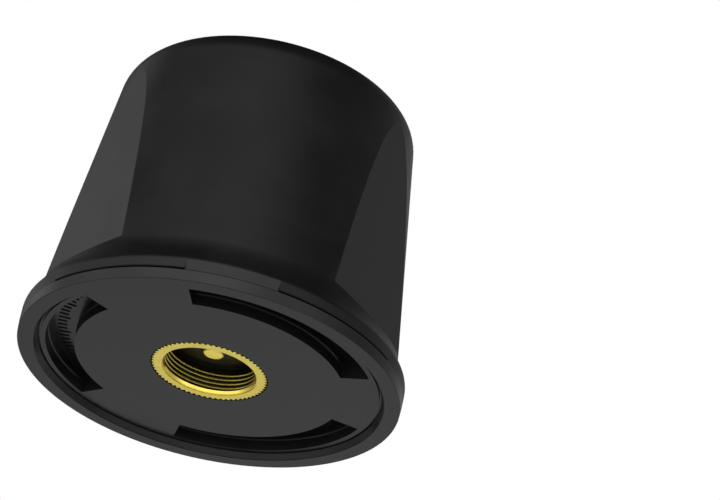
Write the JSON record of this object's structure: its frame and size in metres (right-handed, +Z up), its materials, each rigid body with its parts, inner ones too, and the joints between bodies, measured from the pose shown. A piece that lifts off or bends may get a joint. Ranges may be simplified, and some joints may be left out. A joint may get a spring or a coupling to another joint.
{
  "type": "gnss receiver",
  "caption": "Tapered round receiver housing with flats and a flared foot, a rimmed base plate with arc pockets, and a central brass threaded coaxial mount with a sprung contact.",
  "frame": {"origin": "on the housing's axis, at the foot of the base plate's rim", "axes": "+Z up the axis from the mount into the housing, -Y between two of the flats, +X to the right of that view"},
  "size_m": [0.114, 0.114, 0.0935],
  "materials": {
    "housing_plastic": "satin moulded black",
    "base_plastic": "satin moulded black",
    "tray_plastic": "matt moulded black",
    "seal_rubber": "matt",
    "screw_steel": "bright zinc",
    "mount_brass": "turned",
    "nut_brass": "turned",
    "insulator_plastic": "satin",
    "contact_brass": "turned",
    "tip_brass": "polished",
    "spring_steel": "drawn wire",
    "spacer_brass": "milled",
    "board_laminate": "solder mask",
    "can_metal": "tinned",
    "chip_epoxy": "moulded",
    "passive_parts": "ceramic",
    "cell_steel": "bright",
    "holder_plastic": "moulded",
    "link_plastic": "moulded",
    "plane_aluminium": "brushed",
    "coax_jacket": "extruded",
    "plug_brass": "gold plated",
    "patch_ceramic": "fired ceramic",
    "patch_metal": "silvered copper",
    "foam": "closed-cell foam"
  },
  "bodies": {
    "housing": {"radome": "housing_plastic", "base_plate": "base_plastic", "pocket_tray": "tray_plastic", "base_o_ring": "seal_rubber", "tray_screws": "screw_steel", "mount_insert": "mount_brass", "insert_washer": "screw_steel", "insert_nut": "nut_brass", "contact_insulator": "insulator_plastic", "contact_sleeve": "contact_brass", "contact_spring": "spring_steel", "contact_cap": "contact_brass", "lower_standoffs": "spacer_brass", "receiver_board": "board_laminate", "gnss_module": "can_metal", "receiver_shield": "can_metal", "receiver_chips": "chip_epoxy", "receiver_passives": "passive_parts", "backup_cell": "cell_steel", "cell_holder": "holder_plastic", "board_link": "link_plastic", "middle_standoffs": "spacer_brass", "radio_board": "board_laminate", "radio_shield": "can_metal", "radio_chips": "chip_epoxy", "radio_passives": "passive_parts", "upper_standoffs": "spacer_brass", "ground_plane": "plane_aluminium", "plane_screws": "screw_steel", "lna_board": "board_laminate", "lna_shield": "can_metal", "aerial_coax": "coax_jacket", "coax_plugs": "plug_brass", "lower_patch": "patch_ceramic", "lower_patch_plate": "patch_metal", "upper_patch": "patch_ceramic", "upper_patch_plate": "patch_metal", "feed_pins": "plug_brass", "foam_pad": "foam"},
    "contact": {"contact_plunger": "tip_brass"}
  },
  "joints": [
    {"name": "contact_travel", "type": "slide", "parent": "housing", "child": "contact", "axis": [0, 0, 1], "range_m": [0, 0.0018], "stiffness_N_per_m": 500, "springref_m": -0.001, "deforming": ["contact_spring"]}
  ]
}
